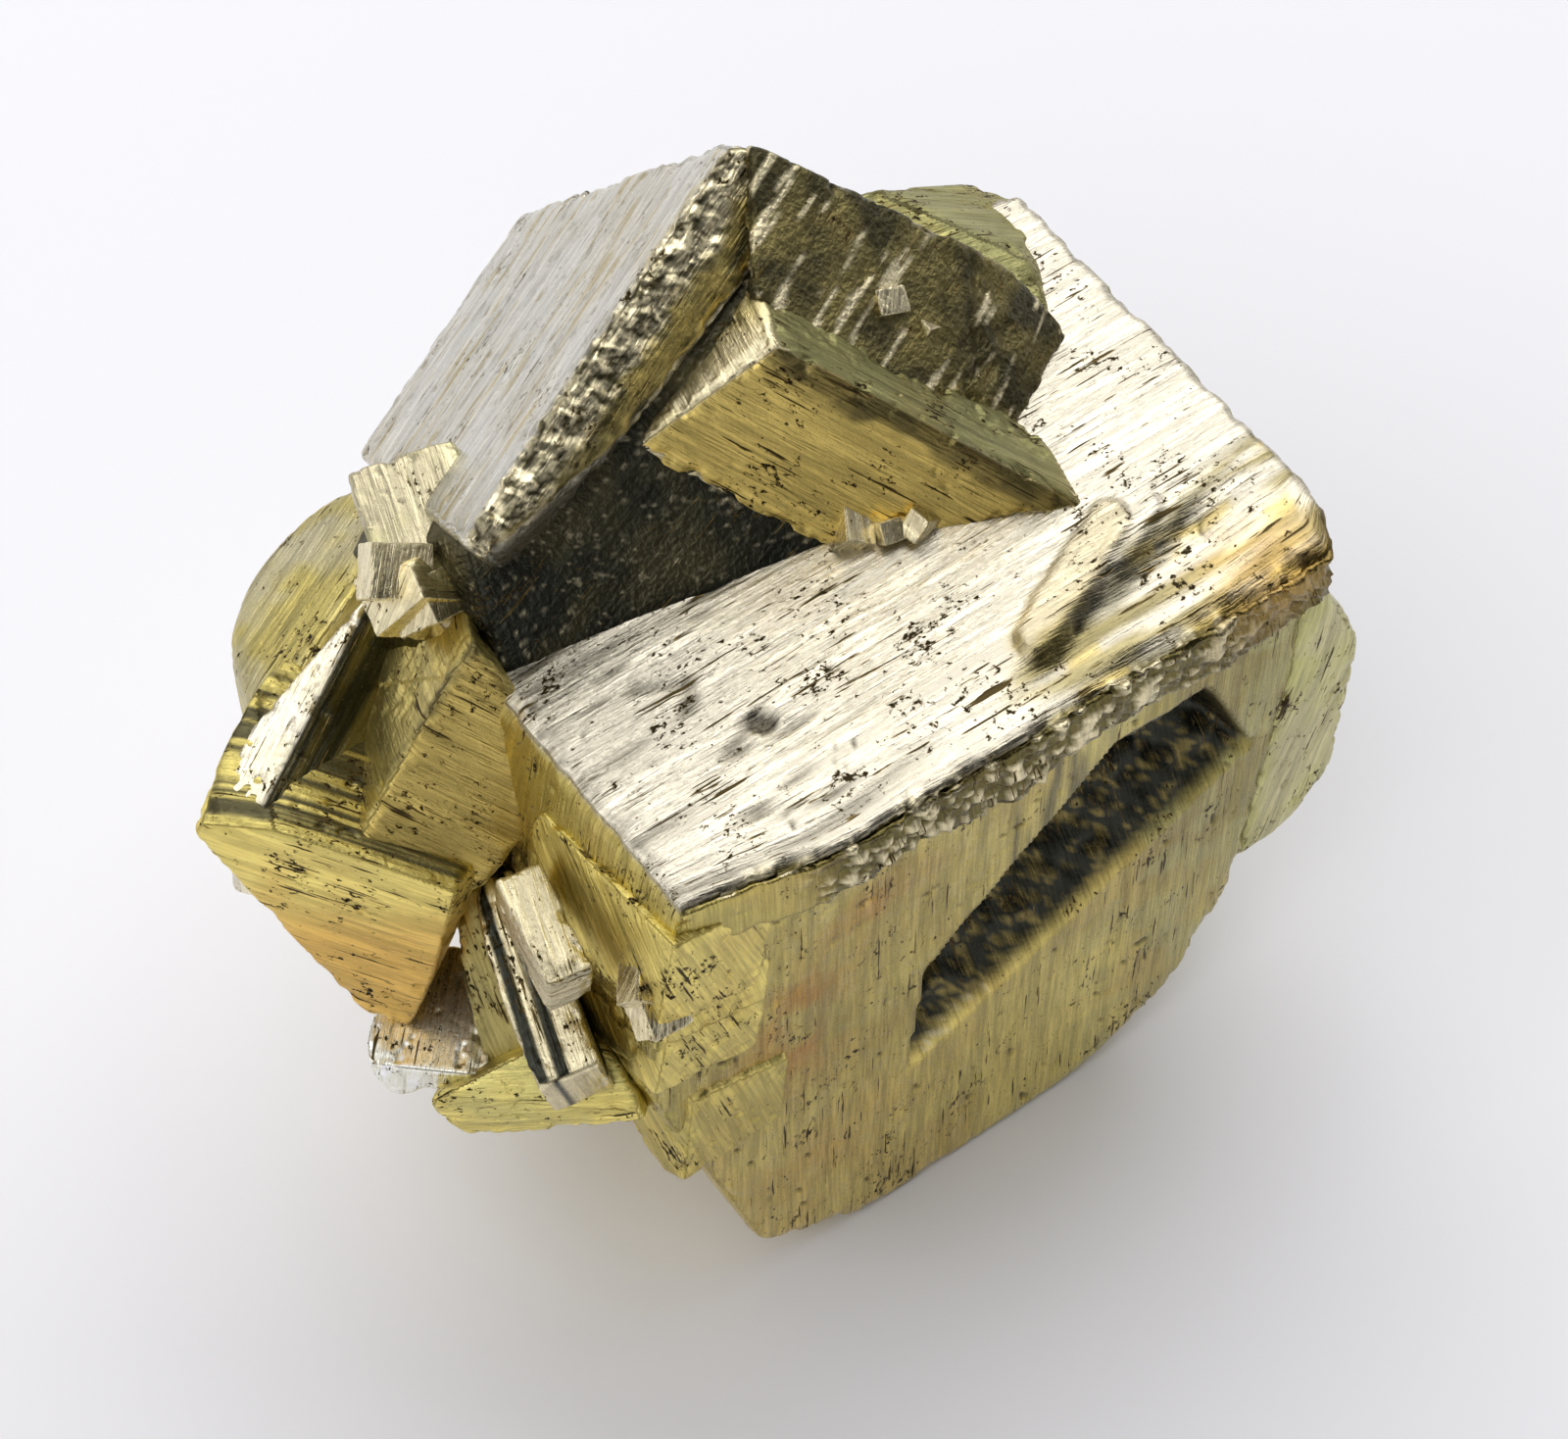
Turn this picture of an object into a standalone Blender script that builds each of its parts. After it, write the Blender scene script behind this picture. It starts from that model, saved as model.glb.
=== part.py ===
"""A hand-sized cluster of intergrown pyrite crystals, resting on the flat foot of its largest one.

Every crystal is a block, cleaved by the flat faces that grew across its corners. An older crystal
keeps its whole shape, and a younger one stops where it meets it, with a seam of a fraction of a
millimetre between the two. Lengths are in millimetres, and MM turns them into Blender's metres.
"""

import math

import bmesh
import bpy
from mathutils import Euler, Matrix, Vector

MM = 0.001
SEAM = 0.3  # the gap between two crystals that touch
WELD = 0.001  # points nearer than this are one point

# The big crystal's frame is turned this far about the vertical, and its foot lies at z = 0.
MAIN_YAW = 36
MAIN_LENGTH, MAIN_DEPTH, MAIN_HEIGHT = 38.2, 23.9, 37.7
MAIN_CENTRE = (2.7, 1.0, 18.85)
HALF_DEPTH = MAIN_DEPTH / 2
HALF_HEIGHT = MAIN_HEIGHT / 2

# The upper blocks share one lattice, which leans back from the big crystal.
UPPER_TURN = (11, 38, -23)

# The overhanging growth layer along the big crystal's front top edge.
LEDGE_PROUD = 1.6
LEDGE_THICK = 3.9

# The slanting notch in the big crystal's front face.
NOTCH_SLOPE = 35  # its long lower wall leans this far from the front face
NOTCH_RISE = 26.6  # its lower lip climbs to the right by this angle

# Moves the cluster so that the middle of its box's underside is the origin.
TO_ORIGIN = (-0.65, -2.58, 0.0)

GOLD = (0.58, 0.50, 0.27, 1.0)
OLIVE = (0.42, 0.38, 0.20, 1.0)
AMBER = (0.60, 0.42, 0.16, 1.0)
DARK = (0.16, 0.15, 0.10, 1.0)


def empty_scene():
    for obj in list(bpy.data.objects):
        bpy.data.objects.remove(obj)


def new_collection(name):
    made = bpy.data.collections.new(name)
    bpy.context.scene.collection.children.link(made)
    return made


def metal(name, colour, roughness):
    made = bpy.data.materials.new(name)
    made.use_nodes = True
    shader = made.node_tree.nodes["Principled BSDF"]
    shader.inputs["Base Color"].default_value = colour
    shader.inputs["Roughness"].default_value = roughness
    shader.inputs["Metallic"].default_value = 1.0
    return made


def cleave(block, towards, reach):
    """Cuts the block flat, square to the direction towards, at reach from its centre."""
    normal = Vector(towards).normalized()
    bmesh.ops.bisect_plane(
        block,
        geom=block.verts[:] + block.edges[:] + block.faces[:],
        dist=WELD * MM,
        plane_co=normal * reach * MM,
        plane_no=normal,
        clear_outer=True,
    )
    rim = [edge for edge in block.edges if edge.is_boundary]
    if rim:
        bmesh.ops.holes_fill(block, edges=rim, sides=0)


def block_mesh(name, size, cleaved, grow=0.0):
    """A closed block of this size with its cleaved faces, grown outwards on every side by grow."""
    block = bmesh.new()
    bmesh.ops.create_cube(block, size=1.0)
    full = Vector(side + 2 * grow for side in size) * MM
    bmesh.ops.transform(block, matrix=Matrix.Diagonal((*full, 1.0)), verts=block.verts)
    for towards, reach in cleaved:
        cleave(block, towards, reach + grow)
    bmesh.ops.remove_doubles(block, verts=block.verts, dist=WELD * MM)
    bmesh.ops.recalc_face_normals(block, faces=block.faces)
    mesh = bpy.data.meshes.new(name)
    block.to_mesh(mesh)
    block.free()
    return mesh


def placed(name, mesh, at, turned, collection):
    made = bpy.data.objects.new(name, mesh)
    made.location = Vector(at) * MM
    made.rotation_euler = Euler([math.radians(angle) for angle in turned])
    made.parent = CLUSTER
    collection.objects.link(made)
    return made


def cutter(name, size, at, turned, cleaved, grow=0.0):
    """A hidden block that other crystals are cut by, or joined with."""
    mesh = block_mesh(name, size, cleaved, grow)
    made = placed(name, mesh, at, turned, CUTTERS)
    made.hide_render = True
    made.display_type = "WIRE"
    return made


def combine(obj, other, operation):
    step = obj.modifiers.new(f"{operation.lower()} {other.name}", "BOOLEAN")
    step.operation = operation
    step.object = other


def world_box(obj):
    corners = [obj.matrix_world @ vertex.co for vertex in obj.data.vertices]
    low = [min(corner[i] for corner in corners) for i in range(3)]
    high = [max(corner[i] for corner in corners) for i in range(3)]
    return low, high


def boxes_meet(one, other):
    (low, high), (other_low, other_high) = world_box(one), world_box(other)
    return all(low[i] < other_high[i] and other_low[i] < high[i] for i in range(3))


def keep_largest_piece(mesh):
    """A crystal that its neighbours cut through keeps only the piece that shows."""
    whole = bmesh.new()
    whole.from_mesh(mesh)
    bmesh.ops.remove_doubles(whole, verts=whole.verts, dist=WELD * MM)
    left = set(whole.faces)
    pieces = []
    while left:
        piece, edge_of_piece = set(), [left.pop()]
        while edge_of_piece:
            face = edge_of_piece.pop()
            piece.add(face)
            near = {other for edge in face.edges for other in edge.link_faces} & left
            left -= near
            edge_of_piece.extend(near)
        pieces.append(piece)
    pieces.sort(key=lambda piece: sum(face.calc_area() for face in piece))
    spare = [face for piece in pieces[:-1] for face in piece]
    bmesh.ops.delete(whole, geom=spare, context="FACES")
    whole.to_mesh(mesh)
    whole.free()


def settle(obj):
    """Applies the Booleans on this crystal."""
    bpy.context.view_layer.update()
    graph = bpy.context.evaluated_depsgraph_get()
    mesh = bpy.data.meshes.new_from_object(obj.evaluated_get(graph))
    mesh.name = obj.name
    obj.modifiers.clear()
    obj.data = mesh
    keep_largest_piece(mesh)


def crystal(name, at, turned, size, cleaved=(), look="gold"):
    """Grows one crystal against all the older ones that it reaches."""
    mesh = block_mesh(name, size, cleaved)
    mesh.materials.append(METALS[look])
    made = placed(name, mesh, at, turned, CRYSTALS)
    bpy.context.view_layer.update()
    for older in OLDER:
        if boxes_meet(made, older):
            combine(made, older, "DIFFERENCE")
    settle(made)
    OLDER.append(cutter(f"{name}_seam", size, at, turned, cleaved, SEAM))
    return made


def left_face_slabs():
    """Three tilted slabs that the big crystal later grew around, at its left end."""
    crystal(
        "left_face_slab", (-5.8, -14.8, 31.8), (80, -10, -53), (10.5, 5.1, 5.0),
        (((1.0, -0.18, 0.0), 3.9), ((-1.0, 0.5, 0.0), 5.4), ((1.0, -0.38, 0.0), 4.4)),
        "olive",
    )
    crystal(
        "lower_slab", (-5.3, -15.7, 27.1), (79, -10, -53), (6.0, 5.7, 5.0),
        (((1.0, -0.18, 0.0), 2.9),),
        "olive",
    )
    crystal(
        "foot_slab", (-3.2, -17.1, 18.2), (83, 40, -48), (6.9, 5.4, 4.9),
        (((1.0, 0.82, 0.24), 0.5), ((1.0, -0.54, -0.08), 2.2)),
        "olive",
    )


def main_block():
    """The largest crystal: a tabular block on a flat foot, with its lower corners broken away."""
    turned = (0, 0, MAIN_YAW)
    size = (MAIN_LENGTH, MAIN_DEPTH, MAIN_HEIGHT)
    cleaved = (
        ((-1.0, 0.0, 0.18), 20.4),
        ((-1.0, 0.0, -0.30), 17.1),
        ((-0.58, 0.0, -1.0), 19.8),
        ((1.0, 0.0, -0.48), 18.0),
        ((0.51, 0.0, -1.0), 19.6),
        ((1.0, 0.0, -0.12), 16.7),
        ((0.73, -0.68, 0.0), 21.2),
    )
    mesh = block_mesh("main_block", size, cleaved)
    mesh.materials.append(METALS["gold"])
    made = placed("main_block", mesh, MAIN_CENTRE, turned, CRYSTALS)
    combine(made, notch(), "DIFFERENCE")
    combine(made, ledge("front_ledge"), "UNION")
    for older in OLDER:
        combine(made, older, "DIFFERENCE")
    settle(made)
    OLDER.append(cutter("main_block_seam", size, MAIN_CENTRE, turned, cleaved, SEAM))
    OLDER.append(ledge("front_ledge_seam", SEAM))


def ledge(name, grow=0.0):
    """The growth layer that overhangs the front face, just below the top."""
    inside = 3.0
    size = (34.0, LEDGE_PROUD + inside, LEDGE_THICK)
    turn = Matrix.Rotation(math.radians(MAIN_YAW), 3, "Z")
    middle_y = -HALF_DEPTH - (LEDGE_PROUD - inside) / 2
    local = Vector((0.6, middle_y, HALF_HEIGHT - LEDGE_THICK / 2 - 0.05))
    at = Vector(MAIN_CENTRE) + turn @ local
    cleaved = (((-0.20, -0.98, 0.0), 5.0), ((0.73, -0.68, 0.0), 13.2))
    return cutter(name, size, at, (0, 0, MAIN_YAW), cleaved, grow)


def notch():
    """A wedge-shaped growth notch: a long lower wall, a short wall under the ledge, and two ends."""
    slope, rise = math.radians(NOTCH_SLOPE), math.radians(NOTCH_RISE)
    lower_wall = (
        math.sin(slope) * math.sin(rise),
        math.cos(slope),
        -math.sin(slope) * math.cos(rise),
    )
    local = Vector((5.0, -HALF_DEPTH, 3.0))
    turn = Matrix.Rotation(math.radians(MAIN_YAW), 3, "Z")
    at = Vector(MAIN_CENTRE) + turn @ local
    cleaved = (
        (lower_wall, 2.64),
        ((-0.67, 0.0, 0.74), 4.9),
        ((0.0, 0.86, 0.51), 4.1),
        ((0.88, 0.25, 0.39), 9.4),
        ((-1.0, 0.0, 0.1), 8.7),
    )
    return cutter("notch", (26.0, 14.0, 26.0), at, (0, 0, MAIN_YAW), cleaved)


def upper_blocks():
    """The leaning cube behind the big crystal, grown as plates around a recessed core."""
    crystal(
        "upper_left_block", (-11.6, 10.1, 37.3), UPPER_TURN, (4.0, 28.1, 24.7),
        (
            ((-0.31, 1.0, 0.09), 11.2),
            ((1.0, 0.76, 0.02), 5.3),
            ((1.0, -0.06, 0.20), 4.1),
            ((1.0, -0.25, 0.36), 6.4),
            ((0.0, -1.0, -0.40), 7.0),
        ),
    )
    crystal(
        "upper_right_block", (-0.2, 15.0, 35.4), UPPER_TURN, (18.7, 9.1, 20.7),
        (
            ((-0.31, 1.0, 0.09), 4.3),
            ((-1.0, -0.76, -0.02), 6.8),
            ((0.24, 0.19, 1.0), 11.7),
            ((0.49, -1.0, -0.23), 4.0),
        ),
        "dark",
    )
    crystal(
        "core_block", (-9.1, 3.1, 32.7), UPPER_TURN, (16.4, 22.2, 21.7),
        (((0.03, -0.32, 1.0), 8.6), ((-0.63, -1.0, -0.05), 8.1)),
        "dark",
    )
    crystal(
        "ridge_cube", (1.8, 6.5, 39.1), (56, 33, -9), (25.6, 9.0, 9.0),
        (((-0.01, 1.0, 0.29), 4.5), ((-1.0, 0.42, 0.33), 7.6)),
        "olive",
    )
    crystal(
        "back_wedge", (5.8, 18.3, 33.3), (10, 15, -4), (9.6, 9.9, 14.0),
        (((-0.68, 1.0, -0.04), 3.1), ((1.0, 0.48, 0.74), 6.9)),
        "olive",
    )


def right_lobe():
    """The rounded end crystal on the right, behind a crack in the front face."""
    crystal(
        "right_lobe", (20.8, 6.8, 23.3), (0, 0, MAIN_YAW), (7.2, 11.9, 24.2),
        (
            ((1.0, 0.0, -0.75), 8.1),
            ((1.0, 0.0, 0.48), 4.5),
            ((-1.0, 0.0, -0.26), 5.7),
        ),
    )


def left_group():
    """The smaller crystals stacked against the left side, under the leaning cube."""
    crystal(
        "middle_cube", (-14.4, -4.6, 31.1), (55, 36, -12), (8.6, 15.0, 12.0),
        (
            ((1.0, 1.0, 0.12), 3.1),
            ((1.0, 0.0, 0.0), 3.3),
            ((0.20, -1.0, 0.38), 6.2),
            ((0.31, 1.0, 0.0), 4.4),
        ),
        "olive",
    )
    crystal(
        "left_slab", (-19.1, -5.0, 30.2), (0, 0, -20), (6.3, 13.3, 7.5),
        (((0.87, 0.0, 1.0), 1.9),),
    )
    crystal(
        "orange_block", (-20.6, -8.5, 27.6), (83, 21, -9), (13.0, 10.1, 9.0),
        (
            ((-0.80, -1.0, -0.35), -0.1),
            ((1.0, 0.16, 0.48), 7.3),
            ((-0.39, 1.0, 0.12), 6.4),
        ),
        "amber",
    )
    crystal(
        "upper_left_small_block", (-15.9, 2.0, 35.9), (6, -8, 17), (5.2, 5.4, 8.0),
        (((1.0, -0.43, 0.0), 2.6), ((-1.0, -0.61, 0.0), 3.1)),
    )
    crystal(
        "far_left_plate", (-20.0, 1.4, 28.4), (0, -27, -21), (9.0, 13.7, 8.7),
        (
            ((-0.83, 0.79, 1.0), 6.9),
            ((-1.0, 0.24, 0.72), 5.9),
            ((-1.0, -0.26, 0.54), 5.4),
            ((-1.0, -0.88, 0.51), 5.7),
        ),
        "olive",
    )


def lower_group():
    """The prisms and blocks that step down beside the big crystal's left end."""
    crystal("bright_prism", (-10.5, -16.0, 31.4), (5, 1, 26), (2.2, 5.8, 2.6))
    crystal(
        "striated_prism", (-11.0, -14.9, 24.9), (14, -12, 19), (3.1, 9.6, 4.5),
        (((-1.0, 0.21, 0.17), 2.2), ((-1.0, -0.1, 0.17), 2.4), ((1.0, 0.12, 0.18), 1.9)),
    )
    crystal(
        "lower_left_block", (-15.7, -13.1, 17.9), (4, -2, -8), (6.1, 6.6, 6.0),
        (
            ((1.0, 0.4, 0.0), 1.7),
            ((-0.93, -1.0, -0.14), 3.8),
            ((0.58, -0.77, -1.0), 1.1),
            ((-0.63, -1.0, -0.84), 3.2),
        ),
    )
    crystal(
        "bottom_block", (-11.7, -12.6, 21.0), (51, -10, 0), (10.4, 12.3, 8.0),
        (
            ((-0.42, 1.0, 0.0), -1.9),
            ((-1.0, 0.0, -0.04), 4.7),
            ((-0.76, -0.66, 0.0), 6.7),
            ((0.08, -1.0, 0.0), 5.9),
            ((1.0, 0.46, 0.05), 3.2),
            ((-0.14, -0.74, 1.0), 5.5),
        ),
        "olive",
    )
    crystal(
        "shoulder_block", (-10.2, -11.8, 21.5), (50, -10, -7), (8.0, 10.8, 6.5),
        (((-0.99, -0.15, 0.0), 3.7),),
        "olive",
    )


def small_crystals():
    """Grain-sized cubes that settled in the corners between the large crystals."""
    grains = (
        ("contact_crystal_1", (3.0, 1.0, 38.0), (20, 30, 15), 1.6),
        ("contact_crystal_2", (4.6, 1.2, 38.1), (48, 10, 32), 1.3),
        ("contact_crystal_3", (6.0, 1.4, 38.2), (12, 42, 58), 1.3),
        ("perched_crystal_1", (4.6, 10.0, 43.2), (30, 12, 24), 1.5),
        ("perched_crystal_2", (6.3, 9.5, 41.9), (8, 36, 50), 1.2),
        ("valley_crystal_1", (-17.4, -1.8, 39.5), (36, 18, 12), 2.3),
        ("valley_crystal_2", (-16.8, -2.2, 38.3), (15, 40, 33), 2.8),
        ("valley_crystal_3", (-15.7, -2.8, 38.3), (40, 24, 50), 2.6),
        ("corner_crystal_1", (-6.1, -18.6, 31.2), (22, 35, 10), 1.7),
        ("corner_crystal_2", (-5.6, -19.4, 30.0), (45, 12, 40), 1.6),
    )
    for name, at, turned, side in grains:
        crystal(name, at, turned, (side, side * 0.85, side))


empty_scene()
CRYSTALS = new_collection("pyrite_cluster")
CUTTERS = new_collection("cutters")
METALS = {
    "gold": metal("bright_pyrite", GOLD, 0.30),
    "olive": metal("olive_pyrite", OLIVE, 0.34),
    "amber": metal("stained_pyrite", AMBER, 0.38),
    "dark": metal("dark_pyrite", DARK, 0.42),
}
OLDER = []
CLUSTER = bpy.data.objects.new("cluster", None)
CLUSTER.location = Vector(TO_ORIGIN) * MM
CRYSTALS.objects.link(CLUSTER)

left_face_slabs()
main_block()
upper_blocks()
right_lobe()
left_group()
lower_group()
small_crystals()
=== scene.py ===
# %% [markdown]
# # A pyrite cluster, crystal by crystal
#
# Pyrite is iron sulphide. It grows as cubes and tabular blocks with a brassy shine, and this hand-sized
# specimen is a cluster of them. The imported model gives every crystal as a plain faceted solid. In this lesson each
# of those solids becomes a real-looking crystal: rounded edges, growth lines, pits, chips and stains.
#
# The first cell loads the imported model. It is the fixed frame: nothing in it is moved, and every new
# surface takes its place and size from it, except the big crystal, whose planes are given as numbers in its
# coordinates.

# %% Load the imported model
import math

import bmesh
import bpy
import numpy as np
from mathutils import Euler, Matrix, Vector


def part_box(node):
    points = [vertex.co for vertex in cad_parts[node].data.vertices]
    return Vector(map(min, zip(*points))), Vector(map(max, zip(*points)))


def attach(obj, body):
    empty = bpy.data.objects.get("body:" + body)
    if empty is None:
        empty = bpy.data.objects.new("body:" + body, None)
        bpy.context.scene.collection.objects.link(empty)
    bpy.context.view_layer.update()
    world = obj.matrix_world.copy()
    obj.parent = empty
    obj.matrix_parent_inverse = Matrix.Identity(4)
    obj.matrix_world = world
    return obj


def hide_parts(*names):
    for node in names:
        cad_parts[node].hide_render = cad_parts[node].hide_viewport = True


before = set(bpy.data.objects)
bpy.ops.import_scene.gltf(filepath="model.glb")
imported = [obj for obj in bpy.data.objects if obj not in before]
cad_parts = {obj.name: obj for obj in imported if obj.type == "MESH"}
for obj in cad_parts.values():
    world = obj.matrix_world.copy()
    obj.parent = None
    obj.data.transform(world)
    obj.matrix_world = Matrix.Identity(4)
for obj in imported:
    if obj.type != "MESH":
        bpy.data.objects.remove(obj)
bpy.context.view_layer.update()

MM = 0.001
print("crystals in the frame:", len(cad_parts))

# %% [markdown]
# ## Where the big crystal stands
#
# Most features are easiest to place in the big crystal's own axes: x along its length, y into its depth, and z
# up. It stands upright, so only a turn about the vertical is needed. Its middle is given as numbers, and its box
# gives its height.

# %% The big crystal's own axes
MAIN_YAW = 36
MAIN_LENGTH, MAIN_DEPTH, MAIN_HEIGHT = 38.2, 23.9, 37.7
MAIN_CENTRE = np.array([2.05, -1.58, MAIN_HEIGHT / 2])


def turned(x_degrees, y_degrees, z_degrees):
    """The three axes, as columns, of a frame turned about X, then Y, then Z by these angles."""
    angles = [math.radians(a) for a in (x_degrees, y_degrees, z_degrees)]
    return np.array(Euler(angles).to_matrix())


MAIN_AXES = turned(0, 0, MAIN_YAW)
low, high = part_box("main_block")
print("big crystal, height in mm:", round((high.z - low.z) / MM, 1))

# %% [markdown]
# ## The camera
#
# The specimen is looked down on from a little over fifty degrees, with a long lens, as a small thing is
# usually shown. A long lens keeps parallel crystal edges nearly parallel.

# %% Camera
CAMERA_ELEVATION = math.radians(55.5)
CAMERA_DISTANCE = 0.207
CAMERA_TARGET = Vector((-0.65, -2.58, 24.9)) * MM

toward_camera = Vector((0, -math.cos(CAMERA_ELEVATION), math.sin(CAMERA_ELEVATION)))
camera_data = bpy.data.cameras.new("camera")
camera_data.lens = 101.25
camera_data.sensor_width = 36
camera_data.clip_start = 0.01
camera = bpy.data.objects.new("camera", camera_data)
camera.location = CAMERA_TARGET + toward_camera * CAMERA_DISTANCE
camera.rotation_euler = Euler((math.pi / 2 - CAMERA_ELEVATION, 0, 0))
bpy.context.scene.collection.objects.link(camera)
bpy.context.scene.camera = camera
print("camera height in mm:", round(camera.location.z / MM))

# %% [markdown]
# ## Floor and light
#
# A polished metal has no colour of its own to speak of: it shows what stands around it. So the light is
# planned as a room. One large soft panel hangs high behind the specimen. Its reflection fills the big
# crystal's top, which goes almost white. The pale floor fills the faces that look down, and gives them their
# straw and olive. The room is pale at the horizon and dimmer overhead. One soft dark patch in it, to the front
# right and a little above, is what the recessed face and the leaning cube's right side show, so they go dark.

# %% Floor, panel and room
SOFT_WHITE = (0.93, 0.925, 0.955)
HORIZON, OVERHEAD = (1.02, 1.01, 1.00), (0.42, 0.42, 0.435)
HORIZON_HEIGHT, OVERHEAD_HEIGHT = 0.02, 0.34
PATCH_TOWARDS, PATCH_SHADE = (0.66, -0.45, 0.60), 0.04
PATCH_RIM, PATCH_MIDDLE = 0.68, 0.92


def soft_panel(name, towards, distance, size, power, colour=(1, 1, 1)):
    """A square area light that hangs in the direction towards and faces the specimen."""
    light = bpy.data.lights.new(name, "AREA")
    light.shape = "RECTANGLE"
    light.size, light.size_y = size
    light.energy = power
    light.color = colour
    panel = bpy.data.objects.new(name, light)
    away = Vector(towards).normalized()
    panel.location = Vector((0, 0, 0.02)) + away * distance
    panel.rotation_mode = "QUATERNION"
    panel.rotation_quaternion = away.to_track_quat("Z", "Y")
    bpy.context.scene.collection.objects.link(panel)
    return panel


def pale_floor(size=1.6):
    """A square floor of matt card."""
    half = size / 2
    mesh = bpy.data.meshes.new("floor")
    mesh.from_pydata([(-half, -half, 0), (half, -half, 0), (half, half, 0), (-half, half, 0)], [], [(0, 1, 2, 3)])
    card = bpy.data.materials.new("pale_card")
    card.use_nodes = True
    shader = card.node_tree.nodes["Principled BSDF"]
    shader.inputs["Base Color"].default_value = (*SOFT_WHITE, 1)
    shader.inputs["Roughness"].default_value = 0.9
    shader.inputs["Specular IOR Level"].default_value = 0.1
    mesh.materials.append(card)
    floor = bpy.data.objects.new("floor", mesh)
    bpy.context.scene.collection.objects.link(floor)
    return floor


def pale_room():
    """A room that is pale at the horizon and dimmer overhead, with one soft dark patch in it. The patch is
    bounded by the cosine of the angle from its middle."""
    room = bpy.data.worlds.new("room")
    room.use_nodes = True
    nodes, links = room.node_tree.nodes, room.node_tree.links
    where = nodes.new("ShaderNodeTexCoord").outputs["Generated"]
    split = nodes.new("ShaderNodeSeparateXYZ")
    links.new(where, split.inputs["Vector"])
    height = nodes.new("ShaderNodeValToRGB")
    stops = (HORIZON_HEIGHT, HORIZON), (OVERHEAD_HEIGHT, OVERHEAD)
    for element, (position, colour) in zip(height.color_ramp.elements, stops):
        element.position, element.color = position, (*colour, 1)
    links.new(split.outputs["Z"], height.inputs["Fac"])
    near = nodes.new("ShaderNodeVectorMath")
    near.operation = "DOT_PRODUCT"
    near.inputs[1].default_value = Vector(PATCH_TOWARDS).normalized()
    links.new(where, near.inputs[0])
    patch = nodes.new("ShaderNodeValToRGB")
    patch.color_ramp.interpolation = "EASE"
    stops = (PATCH_RIM, 1.0), (PATCH_MIDDLE, PATCH_SHADE)
    for element, (position, share) in zip(patch.color_ramp.elements, stops):
        element.position, element.color = position, (share, share, share, 1)
    links.new(near.outputs["Value"], patch.inputs["Fac"])
    both = nodes.new("ShaderNodeMix")
    both.data_type, both.blend_type = "RGBA", "MULTIPLY"
    both.inputs[0].default_value = 1.0
    links.new(height.outputs["Color"], both.inputs[6])
    links.new(patch.outputs["Color"], both.inputs[7])
    links.new(both.outputs[2], nodes["Background"].inputs["Color"])
    bpy.context.scene.world = room


pale_floor()
soft_panel("panel_behind", (0.05, 0.62, 0.76), 0.55, (0.66, 0.55), 2.2)
soft_panel("panel_left", (-0.9, -0.1, 0.55), 0.6, (0.35, 0.35), 0.3)
soft_panel("panel_above", (-0.35, -0.38, 0.86), 0.6, (0.45, 0.45), 0.95)
pale_room()
bpy.context.scene.view_settings.view_transform = "Standard"

# %% [markdown]
# ## Noise worked out as whole arrays
#
# A crystal face is flat to the eye and uneven under a lens. The unevenness comes from value noise: every corner
# of a lattice gets a number from its own coordinates, and a point in between gets a smooth blend of the eight
# corners around it. The numbers come from a fixed rule, so the specimen is the same each time.

# %% Smooth steps and lattice noise
def smooth(low, high, x):
    """0 below low, 1 above high, and a smooth cubic between them."""
    t = np.clip((x - low) / (high - low), 0, 1)
    return t * t * (3 - 2 * t)


def corner_value(cell, seed):
    """A number from 0 to 1 for each lattice corner: its coordinates are mixed by multiplying and shifting."""
    key = cell.astype(np.int64) & 0xFFFFFFFF
    mixed = key[..., 0] * 374761393 + key[..., 1] * 668265263 + key[..., 2] * 1274126177 + seed * 362437
    mixed = ((mixed & 0xFFFFFFFF) ^ ((mixed & 0xFFFFFFFF) >> 13)) * 1103515245
    mixed = (mixed & 0xFFFFFFFF) ^ ((mixed & 0xFFFFFFFF) >> 16)
    return (mixed & 0xFFFF) / 65535.0


def noise(points, seed=0):
    """Value noise, from -1 to 1: a smooth blend of the eight lattice corners around each point."""
    cell = np.floor(points)
    t = points - cell
    t = t * t * (3 - 2 * t)
    total = 0
    for corner in range(8):
        offset = np.array([corner & 1, corner >> 1 & 1, corner >> 2])
        weight = np.prod(np.where(offset == 1, t, 1 - t), axis=-1)
        total = total + weight * corner_value(cell + offset, seed)
    return total * 2 - 1


def layered(points, octaves=3, seed=0):
    """Noise with finer and weaker copies of itself added, each at twice the pitch and half the height."""
    return sum(noise(points * 2**i + 7.3 * i, seed + i) / 2**i for i in range(octaves))


sample = noise(np.random.default_rng(1).uniform(0, 50, (5000, 3)))
print("noise runs from", round(float(sample.min()), 2), "to", round(float(sample.max()), 2))

# %% [markdown]
# ## One surface for every crystal
#
# A crystal is the space inside a handful of flat faces. Each face is a plane, so a direction from the middle
# meets the surface at the nearest plane's distance. Taking the nearest plane exactly gives knife edges. A power
# mean of the distances instead gives the slightly rounded edges that a real crystal has.
#
# The points come from a box-shaped lattice: six grids, one on each side of a box in the crystal's own axes, welded
# along their shared edges. That way the mesh lines run along the crystal, and so do its growth lines.

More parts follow.
